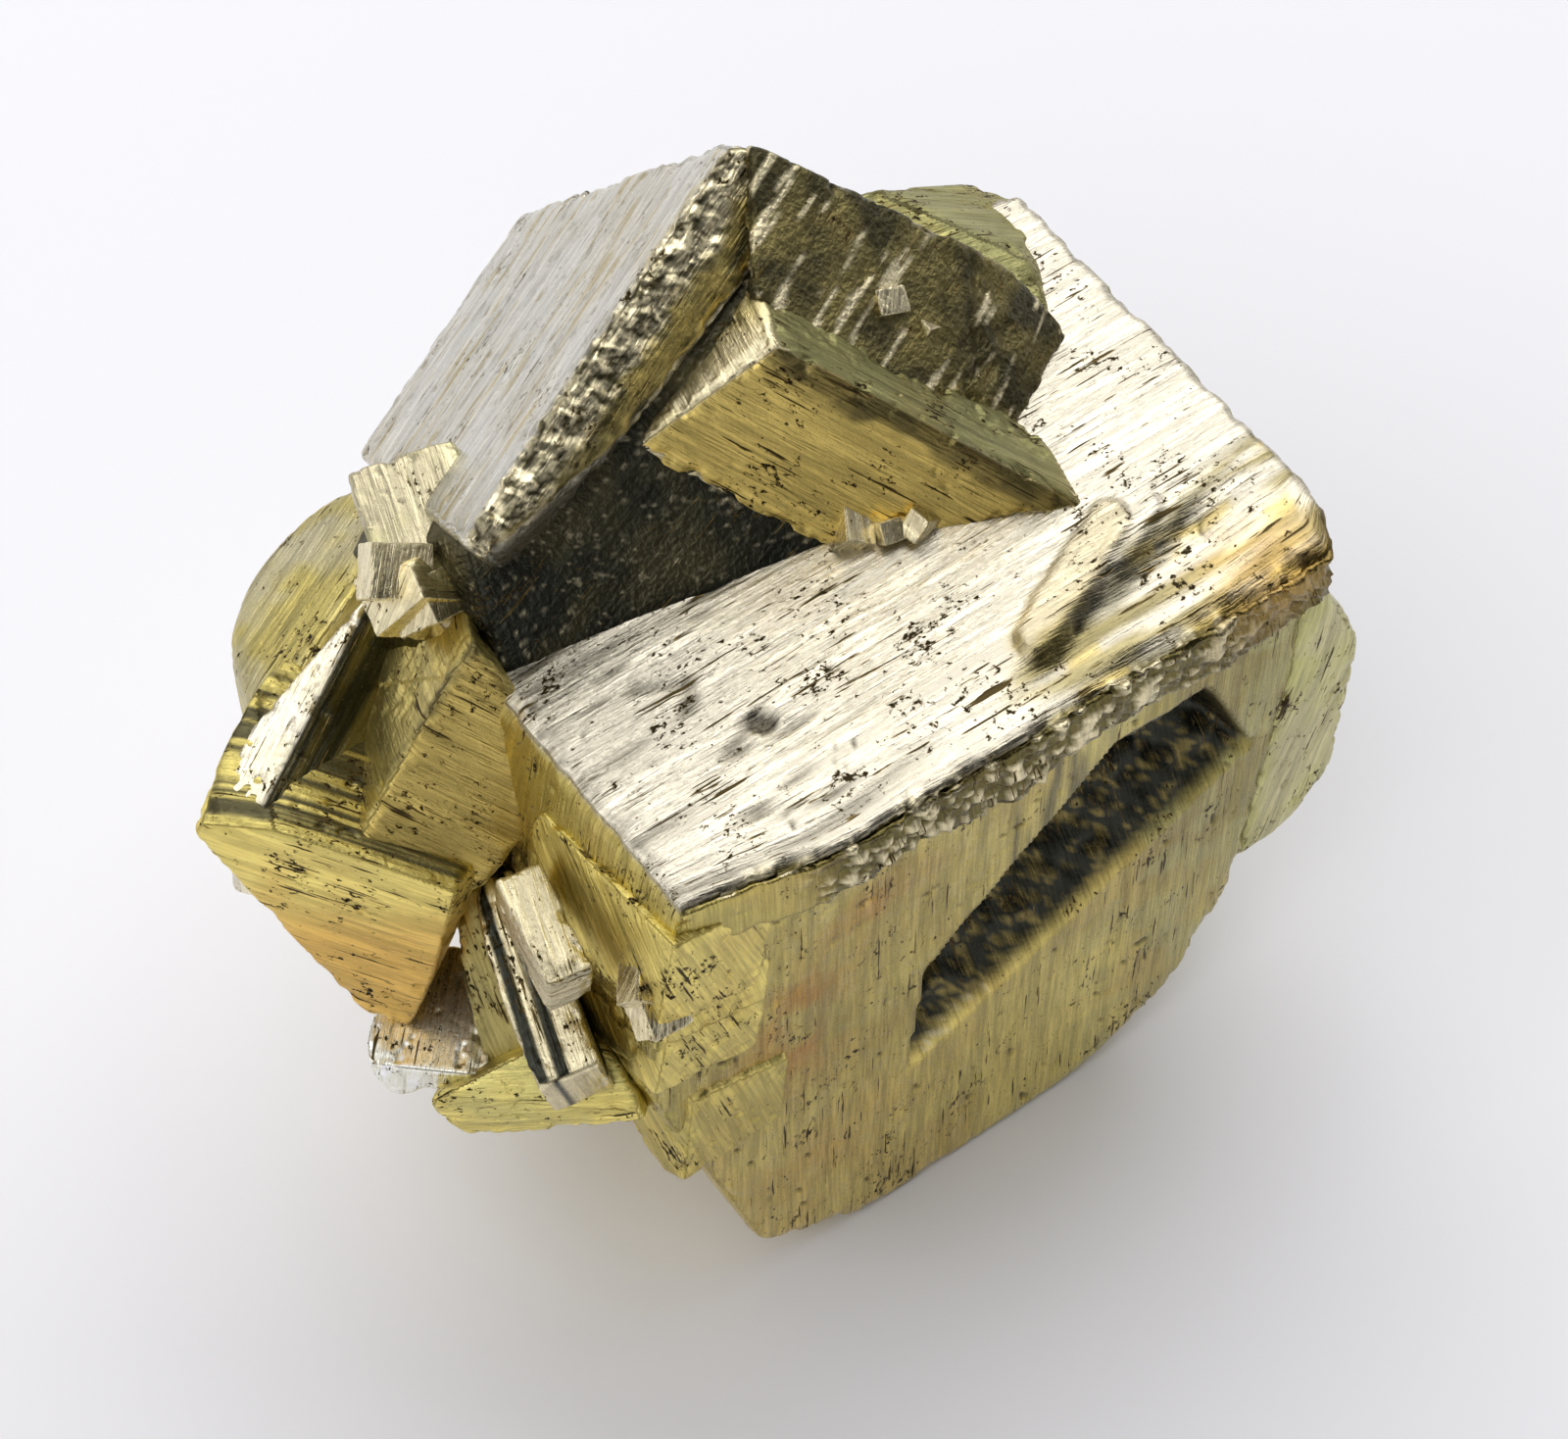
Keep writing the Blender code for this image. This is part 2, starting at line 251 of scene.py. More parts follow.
# %% The planes of a packed crystal
def planes_of(node):
    """Outward unit normals, distances, areas and face centres of the hull of a packed crystal, and its middle.
    Lengths are in mm. Triangles that share a plane become one face."""
    hull = bmesh.new()
    hull.from_mesh(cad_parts[node].data)
    bmesh.ops.remove_doubles(hull, verts=hull.verts, dist=0.002 * MM)
    made = bmesh.ops.convex_hull(hull, input=hull.verts, use_existing_faces=False)
    skin = [f for f in made["geom"] if isinstance(f, bmesh.types.BMFace) and f.calc_area() > 1e-10]
    corners = np.array([[v.co[:] for v in f.verts[:3]] for f in skin]) / MM
    middle = np.mean([v.co[:] for v in {v for f in skin for v in f.verts}], axis=0) / MM
    hull.free()
    square = np.cross(corners[:, 1] - corners[:, 0], corners[:, 2] - corners[:, 0])
    area = np.linalg.norm(square, axis=1) / 2
    normal = square / (2 * area[:, None])
    normal *= np.sign(np.sum((corners[:, 0] - middle) * normal, axis=1))[:, None]
    distance = np.sum(corners[:, 0] * normal, axis=1)
    centre = corners.mean(axis=1)
    order, faces = list(np.argsort(-area)), []
    while order:
        first = order[0]
        same = [i for i in order if normal[i] @ normal[first] > 0.9995 and abs(distance[i] - distance[first]) < 0.08]
        total = area[same].sum()
        faces.append((*normal[first], distance[first], total, *(area[same] @ centre[same] / total)))
        order = [i for i in order if i not in same]
    faces = np.array(faces)
    return faces[:, :3], faces[:, 3], faces[:, 4], faces[:, 5:], middle


HULLS = {name: planes_of(name) for name in sorted(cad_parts)}


def planes_without_seams(node, look=0.45, sink=0.6):
    """The planes of a crystal, with every face that lies against a neighbour sunk a little into it, so that no
    gap shows between the two. A face does if the point just outside its centre is inside another crystal."""
    normal, distance, area, centre, middle = HULLS[node]
    outside = centre + normal * look
    buried = np.zeros(len(normal), bool)
    for other, (n, d, *_) in HULLS.items():
        if other != node:
            buried |= np.all(outside @ n.T <= d, axis=1)
    return normal, distance + sink * buried, area, centre, middle


def lattice(counts):
    """The points, from -1 to 1, and the quads of six welded grids on a box with this many cells along each axis."""
    counts = np.array(counts)
    points, quads, start = [], [], 0
    for axis in range(3):
        u, v = (axis + 1) % 3, (axis + 2) % 3
        a, b = np.meshgrid(np.arange(counts[u] + 1), np.arange(counts[v] + 1), indexing="ij")
        index = np.arange(a.size).reshape(a.shape)
        quad = np.stack([index[:-1, :-1], index[1:, :-1], index[1:, 1:], index[:-1, 1:]], axis=-1).reshape(-1, 4)
        for side in (0, 1):
            grid = np.zeros((a.size, 3), np.int64)
            grid[:, u], grid[:, v], grid[:, axis] = a.ravel(), b.ravel(), side * counts[axis]
            points.append(grid)
            quads.append((quad if side else quad[:, ::-1]) + start)
            start += a.size
    cells, back = np.unique(np.concatenate(points), axis=0, return_inverse=True)
    return cells / counts * 2 - 1, back.ravel()[np.concatenate(quads)]


class Surface:
    """A crystal's rounded surface: its points, normals and quads, and where on its face each point lies."""

    def __init__(self, planes, axes, grain, spacing, rounding, warp=None):
        """Sends a ray from the middle through every lattice point, out to where the rounded planes stop it:
        the ray is divided by the power mean of its shares of the planes' distances."""
        normal, distance, _, _, middle = planes
        self.axes, self.middle, self.planes = axes, middle, (normal, distance)
        reach = distance - normal @ middle
        spans = self.spans(normal, reach, axes)
        unit, self.quads = lattice(np.maximum(4, np.round((spans[1] - spans[0]) / spacing)).astype(int))
        if warp is not None:
            unit = warp(unit)
        local = (spans[1] + spans[0]) / 2 + unit * (spans[1] - spans[0]) / 2
        ray = local @ axes.T
        power = float(np.clip(1.4 * np.median(reach) / rounding, 14, 150))
        share = np.maximum(ray @ normal.T / reach, 0)
        peak = share.max(axis=1, keepdims=True)
        weight = (share / peak) ** power
        total = weight.sum(axis=1)
        self.points = middle + ray / (peak[:, 0] * total ** (1 / power))[:, None]
        blend = (weight / total[:, None]) @ normal
        self.normal = blend / np.linalg.norm(blend, axis=1)[:, None]
        self.face = share.argmax(axis=1)
        self.face_normal = normal[self.face]
        room = distance - self.points @ normal.T
        room[np.arange(len(room)), self.face] = 99
        self.edge = np.maximum(room.min(axis=1), 0)
        self.lay_along(np.array(grain, float))

    @staticmethod
    def spans(normal, reach, axes):
        """How far the crystal reaches each way along its own axes, from its middle, by walking its edges."""
        corner = []
        for i in range(len(normal)):
            for j in range(i):
                for k in range(j):
                    three = normal[[i, j, k]]
                    if abs(np.linalg.det(three)) > 1e-4:
                        point = np.linalg.solve(three, reach[[i, j, k]])
                        if np.all(normal @ point <= reach + 1e-3):
                            corner.append(axes.T @ point)
        corner = np.array(corner)
        return corner.min(axis=0), corner.max(axis=0)

    def lay_along(self, grain):
        """Each face's own coordinates: along the growth lines, and across them. On a face that the grain meets
        head on, the lines run along the crystal's next axis."""
        grain = grain / np.linalg.norm(grain)
        other = self.axes[:, np.argmin(np.abs(self.axes.T @ grain))]
        flat = np.abs(self.face_normal @ grain) > 0.8
        line = np.where(flat[:, None], other, grain)
        line = line - np.sum(line * self.face_normal, axis=1)[:, None] * self.face_normal
        line /= np.linalg.norm(line, axis=1)[:, None]
        side = np.cross(self.face_normal, line)
        self.along = np.sum((self.points - self.middle) * line, axis=1)
        self.across = np.sum((self.points - self.middle) * side, axis=1)

    def lay(self, across=1.0, along=1.0):
        """Face coordinates stretched by these factors, with a layer of its own for each face."""
        return np.stack([self.across * across, self.along * along, self.face * 13.7], axis=1)

    def own(self):
        """The points in the crystal's own axes, from its middle."""
        return (self.points - self.middle) @ self.axes

    def behind(self, direction):
        """How far in mm each point lies behind the face that looks most nearly along a direction."""
        normal, distance = self.planes
        best = np.argmax(normal @ direction)
        return distance[best] - self.points @ normal[best]

    def facing(self, direction):
        """1 on the face that looks most nearly along a direction, and 0 on the others, with a soft join."""
        normal, _ = self.planes
        return smooth(0.72, 0.92, self.normal @ normal[np.argmax(normal @ direction)])

    def push(self, height):
        """Moves each point along its normal by a height in mm."""
        self.points = self.points + self.normal * height[:, None]


def axes_from(planes):
    """Right-angled axes for a crystal: its two largest faces that stand nearly square to each other."""
    normal, _, area, _, _ = planes
    first = normal[np.argmax(area)]
    square = 1 - np.abs(normal @ first)
    second = normal[np.argmax(area * square**2)]
    second = second - (second @ first) * first
    second /= np.linalg.norm(second)
    return np.stack([first, second, np.cross(first, second)], axis=1)


trial = planes_without_seams("right_lobe")
print("right_lobe has", len(trial[0]), "faces; the largest is", round(float(trial[2].max())), "mm2")

# %% [markdown]
# ## Relief: growth lines, steps, pits and chipped edges
#
# Pyrite's striations are tiny steps where two sets of faces took turns while it grew. They are noise that is
# squeezed hard across the grain and stretched along it. Growth steps are the same noise rounded to a few levels.
# Pits are the places where another noise passes a high mark. Edges are chipped: noise eats into them, and fades
# away from the edge.

# %% Relief on a crystal
def relief(s, ridges=0.03, steps=0.05, pits=0.1, chips=0.2, pitch=1.0, bow=0.0, seed=1):
    """The height in mm of growth lines, steps, pits and chips over a surface."""
    inner = smooth(0.1, 0.7, s.edge)
    height = ridges * layered(s.lay(2.6 * pitch, 0.12 * pitch), 2, seed) * inner
    terrace = layered(s.lay(0.55 * pitch, 0.07 * pitch), 2, seed + 10) + 0.25 * noise(s.lay(2.0, 0.5), seed + 11)
    height += steps * (np.round(terrace * 3) / 3) * inner
    spot = noise(s.lay(1.5 * pitch, 1.0 * pitch), seed + 20) + 0.6 * noise(s.lay(3.7 * pitch, 2.6 * pitch), seed + 21)
    height -= pits * smooth(0.75, 1.05, spot) * smooth(0.15, 0.5, s.edge)
    chip = np.maximum(layered(s.points * 1.1, 3, seed + 30) + 0.15, 0)
    height -= chips * chip * (1 - smooth(0.0, 0.9, s.edge))
    height += bow * noise(s.points * 0.12, seed + 40)
    return height


# %% [markdown]
# ## Colour by place
#
# The brassy colour isn't even: iron stains some spots orange, growth lines hold dark dirt, and broken edges are
# paler. What changes slowly over a crystal is worked out here, point by point, and stored on the mesh as the
# colour attribute tone. The shader adds what is finer than the mesh.

# %% Tones
STRAW = np.array([0.62, 0.55, 0.36])
OLIVE = np.array([0.40, 0.33, 0.12])
TAN = np.array([0.47, 0.36, 0.11])
GREEN = np.array([0.42, 0.40, 0.17])
ORANGE = np.array([0.62, 0.38, 0.10])
RUST = np.array([0.34, 0.17, 0.04])
SILVER = np.array([0.68, 0.66, 0.58])
PEARL = np.array([0.64, 0.59, 0.47])
DARK = np.array([0.09, 0.08, 0.04])
NIGHT = np.array([0.035, 0.036, 0.028])
STONE = np.array([0.54, 0.45, 0.14])
HONEY = np.array([0.60, 0.46, 0.14])
BROWN = np.array([0.24, 0.17, 0.06])
DIRT = np.array([0.03, 0.023, 0.011])


def mix(a, b, share):
    """a where share is 0 and b where it is 1."""
    share = np.asarray(share, float)[..., None]
    return a * (1 - share) + b * share


def mottled(s, base, other, seed=3, size=0.35, amount=0.5):
    """Two tones in soft patches."""
    base, other = np.broadcast_to(base, s.points.shape), np.broadcast_to(other, s.points.shape)
    patch = layered(s.points * size, 3, seed)
    return mix(base, other, amount * smooth(-0.5, 0.7, patch))


# %% [markdown]
# ## The shader
#
# Pyrite is a metal to the eye, so the shader is a metallic one whose colour is tone. Three patterns finer
# than the mesh ride on it. Growth lines are noise on the face coordinates, squeezed across the grain, and they make
# the surface glint in streaks. Specks are short dark dashes and dots of dirt in tiny pits. Grain is a fine
# unevenness in every direction, coarser on the sugary faces, where it breaks the reflection into sparkles.

# %% Material
def wire(tree, kind, **values):
    """Adds a node and sets its inputs: a node's output is linked, and anything else is a value."""
    node = tree.nodes.new(kind)
    for name, value in values.items():
        name = name.replace("_", " ")
        if isinstance(value, bpy.types.NodeSocket):
            tree.links.new(value, node.inputs[name])
        elif name in node.inputs:
            node.inputs[name].default_value = value
        else:
            setattr(node, name.replace(" ", "_"), value)
    return node


def math_node(tree, operation, first, second=0.0, third=0.0):
    """Arithmetic on sockets and numbers."""
    node = tree.nodes.new("ShaderNodeMath")
    node.operation = operation
    for socket, value in zip(node.inputs, (first, second, third)):
        if isinstance(value, bpy.types.NodeSocket):
            tree.links.new(value, socket)
        else:
            socket.default_value = value
    return node.outputs[0]


def ramp_node(tree, value, low, high):
    """A smooth step from 0 at low to 1 at high."""
    node = wire(tree, "ShaderNodeMapRange", interpolation_type="SMOOTHSTEP")
    tree.links.new(value, node.inputs["Value"])
    node.inputs["From Min"].default_value = low
    node.inputs["From Max"].default_value = high
    return node.outputs["Result"]


def noise_node(tree, vector, scale, detail=3.0, roughness=0.55):
    """Smooth noise, from 0 to 1, at this many waves to the unit."""
    node = wire(tree, "ShaderNodeTexNoise", Vector=vector, Scale=scale, Detail=detail, Roughness=roughness)
    return node.outputs[0]


def stretch(tree, vector, scale):
    """A vector with each part multiplied by its own factor."""
    node = wire(tree, "ShaderNodeMapping", Vector=vector)
    node.inputs["Scale"].default_value = scale
    return node.outputs[0]


def pyrite(name, polish=0.30, lines=0.5, grain=0.3, specks=0.5, hairs=0.3, glitter=0.0):
    """A pyrite finish. polish is the roughness, and the others say how strong each fine pattern is."""
    made = bpy.data.materials.new(name)
    made.use_nodes = True
    tree = made.node_tree
    shader = tree.nodes["Principled BSDF"]
    shader.inputs["Metallic"].default_value = 1.0
    place = wire(tree, "ShaderNodeTexCoord").outputs["Object"]
    place = stretch(tree, place, (1 / MM,) * 3)
    lay = wire(tree, "ShaderNodeAttribute", attribute_name="lay").outputs["Vector"]
    tone = wire(tree, "ShaderNodeAttribute", attribute_name="tone").outputs["Color"]
    fine = noise_node(tree, stretch(tree, lay, (7.0, 0.35, 1.0)), 1.0, 3.0, 0.65)
    broad = noise_node(tree, stretch(tree, lay, (1.9, 0.12, 1.0)), 1.0, 3.0, 0.6)
    sand = noise_node(tree, place, 5.0, 4.0, 0.65)
    dots = noise_node(tree, stretch(tree, lay, (4.0, 2.2, 1.0)), 1.0, 4.0, 0.7)
    field = noise_node(tree, place, 0.38, 3.0)
    speck_at = math_node(tree, "MULTIPLY_ADD", field, 0.55, dots)
    speck = ramp_node(tree, speck_at, 0.985 - 0.10 * specks, 1.065 - 0.10 * specks)
    hair = noise_node(tree, stretch(tree, lay, (5.0, 0.22, 1.0)), 1.0, 2.0, 0.6)
    hair_at = math_node(tree, "MULTIPLY_ADD", field, 0.35, hair)
    hair = ramp_node(tree, hair_at, 0.92 - 0.15 * hairs, 0.98 - 0.15 * hairs)
    speck = math_node(tree, "MAXIMUM", speck, math_node(tree, "MULTIPLY", hair, 0.8))
    both = math_node(tree, "MULTIPLY_ADD", fine, 0.5, math_node(tree, "MULTIPLY", broad, 0.5))
    streak = ramp_node(tree, both, 0.35, 0.65)
    shade = math_node(tree, "MULTIPLY_ADD", streak, 0.75 * lines, 1.0 - 0.42 * lines)
    light = wire(tree, "ShaderNodeMix", data_type="RGBA", blend_type="MULTIPLY")
    light.inputs[0].default_value = 1.0
    tree.links.new(tone, light.inputs[6])
    grey = wire(tree, "ShaderNodeCombineColor", Red=shade, Green=shade, Blue=shade).outputs[0]
    tree.links.new(grey, light.inputs[7])
    colour = light.outputs[2]
    for low, high, dirt_tone in ((0.0, 0.5, BROWN), (0.35, 1.0, DIRT)):
        dirt = wire(tree, "ShaderNodeMix", data_type="RGBA")
        tree.links.new(ramp_node(tree, speck, low, high), dirt.inputs[0])
        tree.links.new(colour, dirt.inputs[6])
        dirt.inputs[7].default_value = (*dirt_tone, 1)
        colour = dirt.outputs[2]
    tree.links.new(colour, shader.inputs["Base Color"])
    rough = math_node(tree, "MULTIPLY_ADD", sand, 0.22, polish - 0.08)
    rough = math_node(tree, "MULTIPLY_ADD", speck, 0.25, rough)
    tree.links.new(rough, shader.inputs["Roughness"])
    height = math_node(tree, "MULTIPLY", streak, lines)
    height = math_node(tree, "MULTIPLY_ADD", sand, grain * 1.6, height)
    height = math_node(tree, "MULTIPLY_ADD", speck, -0.8, height)
    if glitter:
        facets = wire(tree, "ShaderNodeTexVoronoi", Vector=place, Scale=3.2)
        facets.distance = "CHEBYCHEV"
        height = math_node(tree, "MULTIPLY_ADD", facets.outputs["Distance"], glitter * 3.0, height)
    bump = wire(tree, "ShaderNodeBump", Height=height, Strength=0.9, Distance=0.045 * MM)
    tree.links.new(bump.outputs[0], shader.inputs["Normal"])
    return made


BRIGHT = pyrite("bright_finish", polish=0.26, lines=0.7, grain=0.3, specks=0.8, hairs=0.6)
SATIN = pyrite("olive_finish", polish=0.32, lines=0.7, grain=0.6, specks=0.95, hairs=0.7)
STAINED = pyrite("stained_finish", polish=0.34, lines=0.6, grain=0.6, specks=0.95, hairs=0.7)
SUGARY = pyrite("dark_finish", polish=0.28, lines=0.5, grain=1.2, specks=0.6, hairs=0.5, glitter=1.0)
print("finishes:", [m.name for m in (BRIGHT, SATIN, STAINED, SUGARY)])


# %% [markdown]
# ## From surface to piece
#
# The arrays go into a mesh in one step each. A finished crystal sits at the origin with its place in its
# points, hides the plain solid that it stands for, and rides on the one body that the cluster is.

# %% Making a piece
def make_piece(name, node, s, tone, material):
    """Puts a surface into a mesh, with its face coordinates and tones as attributes."""
    mesh = bpy.data.meshes.new(name)
    mesh.vertices.add(len(s.points))
    mesh.vertices.foreach_set("co", (s.points * MM).astype(np.float32).ravel())
    mesh.loops.add(s.quads.size)
    mesh.loops.foreach_set("vertex_index", s.quads.astype(np.int32).ravel())
    mesh.polygons.add(len(s.quads))
    mesh.polygons.foreach_set("loop_start", np.arange(0, s.quads.size, 4, dtype=np.int32))
    mesh.polygons.foreach_set("use_smooth", np.ones(len(s.quads), bool))
    lay = mesh.attributes.new("lay", "FLOAT_VECTOR", "POINT")
    lay.data.foreach_set("vector", s.lay().astype(np.float32).ravel())
    colour = mesh.attributes.new("tone", "FLOAT_COLOR", "POINT")
    tone = np.clip(np.broadcast_to(tone, s.points.shape), 0.01, 1)
    colour.data.foreach_set("color", np.c_[tone, np.ones(len(tone))].astype(np.float32).ravel())
    mesh.materials.append(material)
    mesh.update(calc_edges=True)
    mesh.validate()
    piece = bpy.data.objects.new(name, mesh)
    bpy.context.scene.collection.objects.link(piece)
    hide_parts(node)
    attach(piece, "root")
    print(f"{name}: {len(s.quads)} quads")
    return piece


def crystal(node, grain, tone, material, spacing=0.16, rounding=0.25, axes=None, extra=None, **relief_values):
    """A whole crystal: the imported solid's planes, rounded, with relief, anything extra, and tones."""
    planes = planes_without_seams(node)
    s = Surface(planes, axes_from(planes) if axes is None else axes, grain, spacing, rounding)
    height = relief(s, **relief_values)
    s.push(height if extra is None else height + extra(s))
    return make_piece(node + "_skin", node, s, tone(s), material)


# %% [markdown]
# ## The big crystal
#
# It is a tabular block with its lower corners broken away, so its planes are written out here rather than read
# from the hull, which would bridge the notch and the overhang. Three things are added to the plain block:
#
# - the overhang, a growth layer that stands proud along the top front edge,
# - the notch, a slanting V-shaped growth groove in the front face, whose depth is the least of five ramps,
# - bands, pits and a raised finger on the top.

# %% The big crystal's planes
LEDGE_PROUD, LEDGE_THICK = 1.6, 3.9
HALF_DEPTH, HALF_HEIGHT = MAIN_DEPTH / 2, MAIN_HEIGHT / 2
NOTCH_MIDDLE = np.array([5.0, -HALF_DEPTH, 3.0])


def unit_rows(rows):
    """Each row divided by its length."""
    rows = np.array(rows, float)
    return rows / np.linalg.norm(rows, axis=1)[:, None]


def main_planes():
    """The block's six sides and its seven cleaved corners."""
    sides = np.concatenate([np.eye(3), -np.eye(3)])
    halves = np.array([MAIN_LENGTH, MAIN_DEPTH, MAIN_HEIGHT] * 2) / 2
    cleaved = unit_rows([(-1, 0, 0.18), (-1, 0, -0.30), (-0.58, 0, -1), (1, 0, -0.48), (0.51, 0, -1), (1, 0, -0.12),
                         (0.73, -0.68, 0)])
    reach = np.array([20.4, 17.1, 19.8, 18.0, 19.6, 16.7, 21.2])
    normal = np.concatenate([sides, cleaved]) @ MAIN_AXES.T
    distance = np.concatenate([halves, reach]) + normal @ MAIN_CENTRE
    return normal, distance, np.ones(len(distance)), None, MAIN_CENTRE


def notch_depth(x, z):
    """How far the notch goes in behind the front face: the least of its walls' ramps, and never below zero."""
    slope, rise = math.radians(35), math.radians(26.6)
    walls = unit_rows([
        (math.sin(slope) * math.sin(rise), math.cos(slope), -math.sin(slope) * math.cos(rise)),
        (0.0, 0.86, 0.51),
        (0.88, 0.25, 0.39),
        (-0.67, 0.0, 0.74),
        (-1.0, 0.0, 0.1),
    ])
    reach = np.array([2.64, 4.1, 9.4, 4.9, 8.7])
    left = reach - np.outer(x - NOTCH_MIDDLE[0], walls[:, 0]) - np.outer(z - NOTCH_MIDDLE[2], walls[:, 2])
    ramp = left / np.array([walls[0, 1], walls[1, 1], walls[2, 1], 0.45, 0.30])
    return np.maximum(ramp.min(axis=1), 0)


def finer_at_top(unit):
    """Moves lattice rows up, so that the rows near the top are closer together than those near the foot."""
    unit = unit.copy()
    z = (unit[:, 2] + 1) / 2
    unit[:, 2] = 2 * (1.38 * z - 0.38 * z * z) - 1
    return unit


main = Surface(main_planes(), MAIN_AXES, MAIN_AXES[:, 0], 0.258, 0.35, finer_at_top)
print("big crystal lattice:", len(main.points), "points,", len(main.quads), "quads")

# %% [markdown]
# The overhang and the notch move points square to the front face, whatever the point's own normal is, because both
# were grown or lost in that direction.

# %% Overhang and notch
at = main.own()
x, y, z = at.T
wobble = 0.35 * noise(np.c_[x * 0.35, z * 0.1, x * 0], 5) + 0.15 * noise(np.c_[x * 1.3, z * 0.4, x * 0], 6)
proud = np.clip(0.2 * (x + 17.0), 0, LEDGE_PROUD) * smooth(19.0, 17.0, x)
in_band = smooth(HALF_HEIGHT - LEDGE_THICK - 0.3, HALF_HEIGHT - LEDGE_THICK + 0.5, z + wobble * 1.6)
front_share = smooth(-HALF_DEPTH + 4.0, -HALF_DEPTH + 0.2, y)
ledge_push = (proud + 0.35 * wobble) * in_band * front_share
on_front = main.face == 4
depth = notch_depth(x, z) * smooth(0.0, 0.4, main.edge) * on_front
rough_floor = 0.35 * layered(np.c_[x * 0.9, z * 0.9, y * 0], 3, 9) * smooth(0.3, 1.5, depth)
main.points = main.points + MAIN_AXES[:, 1] * (depth + rough_floor - ledge_push)[:, None]
print("notch depth in mm:", round(float(depth.max()), 2), "overhang in mm:", round(float(ledge_push.max()), 2))

# %% [markdown]
# The top is the mirror that shows the bright panel, so its relief decides what is bright and what is dark. A
# surface that drops towards the front turns away from the panel and goes dark. So the later growth layer near the
# front right is a step down, with a finger of the older layer standing on it. The rim is worn and knobbly, with
# grains half a millimetre across.

# %% Bands, finger and lump on the top
FINGER = (3.6, -9.4), (10.2, -6.1)
LUMP = (9.0, -8.0), (12.4, -6.6)
BAND_AT, BAND_SLOPE, BAND_WIDE = (12.0, -8.0), 0.27, 0.75


def from_segment(x, y, start, end):
    """The distance in the plane from each point to the straight line between two points."""
    start, line = np.array(start), np.subtract(end, start)
    off = np.stack([x, y], axis=1) - start
    share = np.clip(off @ line / (line @ line), 0, 1)
    return np.linalg.norm(off - share[:, None] * line, axis=1)


x, y, z = main.own().T
on_top = smooth(0.85, 0.97, main.normal[:, 2])
on_plain_front = on_front * (1 - in_band) * smooth(0.3, 0.0, depth)
main.along = np.where(on_front, z, main.along)
main.across = np.where(on_front, x, main.across)
ragged = 0.35 * layered(np.c_[x * 0.5, y * 0.9, z], 3, 27)
band_line = y - BAND_SLOPE * (x - BAND_AT[0]) - BAND_AT[1] + ragged
band_reach = smooth(0.0, 3.5, x) * smooth(16.5, 12.5, x) * on_top
step_down = smooth(0.6, -0.7, band_line) * band_reach
step_shade_band = np.exp(-((band_line / BAND_WIDE) ** 2)) * band_reach
ribs = layered(np.c_[y * 1.9, x * 0.09, z * 0], 2, 21) * on_top
ribbed = ribs * band_reach * smooth(-0.3, -1.0, band_line)
off_finger = from_segment(x, y, *FINGER) + 0.5 * ragged
finger = smooth(1.25, 0.7, off_finger) * on_top
lump = smooth(0.8, 0.35, from_segment(x, y, *LUMP) + 0.5 * ragged) * on_top
print("share of the big crystal that is stepped down:", round(float(step_down.mean()), 3))

# %% [markdown]
# Wear comes last. The rim of the top is rubbed down and shows grains, and so does the front of the overhang. Pits
# crowd in one zone of the top, one round pit stands by itself, and a few long cracks follow the growth lines.

# %% Rim, pits and cracks
ROUND_PIT, ROUND_PIT_WIDE = (-8.7, -5.9), 0.75
PITTED, PITTED_WIDE = (-4.5, -8.5), (5.0, 3.5)

lip = y + HALF_DEPTH + proud
rim_wide = 0.9 + 0.9 * smooth(0.0, 8.0, x)
rim = smooth(1.0, 0.1, (lip + ragged) / rim_wide) * smooth(0.55, 0.85, main.normal[:, 2] + 0.3 * on_front)
rough_ledge = in_band * smooth(-12.5, -9.5, x) * smooth(0.85, 0.5, main.normal[:, 2]) * front_share
knobs = np.abs(layered(main.points * 1.4, 3, 31))
round_pit = smooth(ROUND_PIT_WIDE, 0.35, np.hypot(x - ROUND_PIT[0], y - ROUND_PIT[1])) * on_top
pit_zone = np.exp(-((x - PITTED[0]) / PITTED_WIDE[0]) ** 2 - ((y - PITTED[1]) / PITTED_WIDE[1]) ** 2) * on_top
pit_noise = noise(main.lay(1.7, 1.1), 41) + 0.7 * noise(main.lay(3.6, 2.4), 42)
pits = smooth(0.98 - 0.40 * pit_zone, 1.18 - 0.40 * pit_zone, pit_noise) * np.maximum(on_top, on_plain_front)
crack_noise = np.abs(layered(main.lay(0.50, 0.045), 2, 51))
cracks = smooth(0.07, 0.0, crack_noise) * smooth(-1.0, -8.0, x) * on_top
print("share of the big crystal that is pitted:", round(float(pits.mean()), 3))

# %% Heights in mm on the big crystal
FINGER_HIGH, LUMP_HIGH, STEP_DEEP, RIB_HIGH = 0.32, 0.22, 0.45, 0.11
RIM_GRAIN, RIM_WORN, LEDGE_GRAIN, LEDGE_WORN = 0.5, 0.42, 0.45, 0.2
ROUND_PIT_DEEP, PIT_DEEP, CRACK_DEEP, WAVE_HIGH = 0.30, 0.16, 0.14, 0.08

height = relief(main, ridges=0.03, steps=0.05, pits=0.08, chips=0.30, seed=2)
height += FINGER_HIGH * finger + LUMP_HIGH * lump - STEP_DEEP * step_down + RIB_HIGH * ribbed
height += rim * (RIM_GRAIN * knobs - RIM_WORN) + rough_ledge * (LEDGE_GRAIN * knobs - LEDGE_WORN)
height -= ROUND_PIT_DEEP * round_pit + PIT_DEEP * pits + CRACK_DEEP * cracks
height += WAVE_HIGH * layered(main.points * 0.16, 2, 61)
main.push(height)
print("relief in mm, from", round(float(height.min()), 2), "to", round(float(height.max()), 2))
